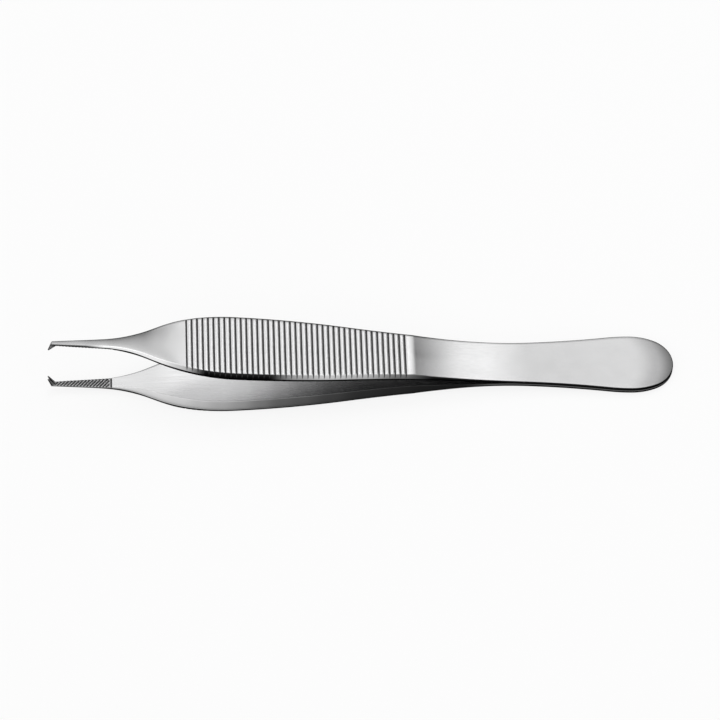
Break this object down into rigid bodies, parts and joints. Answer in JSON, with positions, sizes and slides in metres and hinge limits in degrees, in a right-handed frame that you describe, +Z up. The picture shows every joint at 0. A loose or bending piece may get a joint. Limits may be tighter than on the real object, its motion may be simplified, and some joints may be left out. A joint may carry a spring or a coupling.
{
  "type": "thumb forceps",
  "caption": "Fine-tipped thumb forceps lying open, with cross-ridged grips, a rounded rear end, serrated tying platforms and small teeth at the tips.",
  "frame": {"origin": "under the middle of the bounding box, on the surface that the forceps lies on", "axes": "+X from the tips towards the rounded rear end, +Y across the arms, +Z up, the way the arms open apart"},
  "size_m": [0.12, 0.0138, 0.015],
  "materials": {
    "satin_steel": "satin stainless steel, with brighter rims and ridge tops"
  },
  "bodies": {
    "root": {"single_tooth_arm": "satin_steel", "double_tooth_arm": "satin_steel"}
  },
  "joints": []
}
